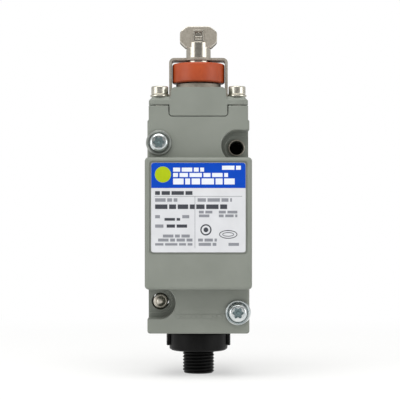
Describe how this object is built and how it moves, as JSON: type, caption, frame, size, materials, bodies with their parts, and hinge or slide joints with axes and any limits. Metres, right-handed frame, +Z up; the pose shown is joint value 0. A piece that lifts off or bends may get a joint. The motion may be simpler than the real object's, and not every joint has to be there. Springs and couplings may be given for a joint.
{
  "type": "limit switch",
  "caption": "Plug-in industrial limit switch: sprung roller plunger under a bent guide strap, orange boot, grey cast body with raised nameplate box, threaded connector below.",
  "frame": {"origin": "on the rear mounting face, midway between the two mounting holes", "axes": "+Z up along the plunger towards the roller, +Y out of the rear mounting face, +X to the right seen from the front"},
  "size_m": [0.04, 0.046, 0.1359],
  "materials": {
    "grey_paint": "baked satin enamel on die cast zinc",
    "zinc_plate": "bright zinc plate",
    "stainless_steel": "turned and stamped, satin",
    "orange_silicone": "moulded, dull sheen",
    "black_plastic": "moulded, fine texture",
    "black_rubber": "moulded nitrile",
    "brown_moulding": "phenolic moulding",
    "brass": "stamped and turned",
    "copper": "stamped copper alloy",
    "nameplate_face": "printed film, white with a blue band"
  },
  "bodies": {
    "housing": {"boot_ring": "orange_silicone", "carrier_spring": "stainless_steel", "connector_adapter": "black_plastic", "connector_insert": "black_plastic", "connector_pin_1": "brass", "connector_pin_2": "brass", "connector_pin_3": "brass", "contact_block_base": "brown_moulding", "contact_block_cover": "brown_moulding", "cup_washer_1": "zinc_plate", "cup_washer_2": "zinc_plate", "ground_screw": "brass", "guide_bush": "stainless_steel", "guide_strap": "stainless_steel", "head_casting": "grey_paint", "head_gasket": "black_rubber", "head_screw_1": "zinc_plate", "head_screw_2": "zinc_plate", "head_screw_3": "zinc_plate", "head_screw_4": "zinc_plate", "head_washer_1": "zinc_plate", "head_washer_2": "zinc_plate", "head_washer_3": "zinc_plate", "head_washer_4": "zinc_plate", "jaw_terminal_left_inner": "brass", "jaw_terminal_left_outer": "brass", "jaw_terminal_right_inner": "brass", "jaw_terminal_right_outer": "brass", "lock_clip": "black_plastic", "mounting_hole_plug": "black_rubber", "mounting_screw": "stainless_steel", "nameplate": "nameplate_face", "plug_in_screw_1": "zinc_plate", "plug_in_screw_2": "zinc_plate", "receptacle_gasket": "black_rubber", "receptacle_housing": "grey_paint", "return_spring": "stainless_steel", "spring_retainer": "stainless_steel", "stab_contact_lower_left": "copper", "stab_contact_lower_right": "copper", "stab_contact_upper_left": "copper", "stab_contact_upper_right": "copper", "stem_seal": "black_rubber", "switch_housing": "grey_paint", "terminal_block": "black_plastic", "terminal_screw_left_inner": "zinc_plate", "terminal_screw_left_outer": "zinc_plate", "terminal_screw_right_inner": "zinc_plate", "terminal_screw_right_outer": "zinc_plate"},
    "plunger": {"roller_plunger": "stainless_steel", "roller_pin": "stainless_steel"},
    "roller": {"roller": "stainless_steel"},
    "actuator": {"push_rod": "brass", "contact_carrier": "black_plastic", "moving_bridge_upper": "copper", "moving_bridge_lower": "copper"}
  },
  "joints": [
    {"name": "plunger_travel", "type": "slide", "parent": "housing", "child": "plunger", "axis": [0, 0, -1], "range_m": [0, 0.0038], "stiffness_N_per_m": 2500, "springref_m": -0.004, "deforming": ["return_spring"]},
    {"name": "roller_spin", "type": "hinge", "parent": "plunger", "child": "roller", "pos_m": [0, -0.0192, 0.07325], "axis": [0, -1, 0], "continuous": true},
    {"name": "push_rod_travel", "type": "slide", "parent": "housing", "child": "actuator", "axis": [0, 0, -1], "range_m": [0, 0.0038], "deforming": ["carrier_spring"]}
  ],
  "couplings": [
    {"joint": "push_rod_travel", "follows": "plunger_travel", "ratio": 1}
  ]
}
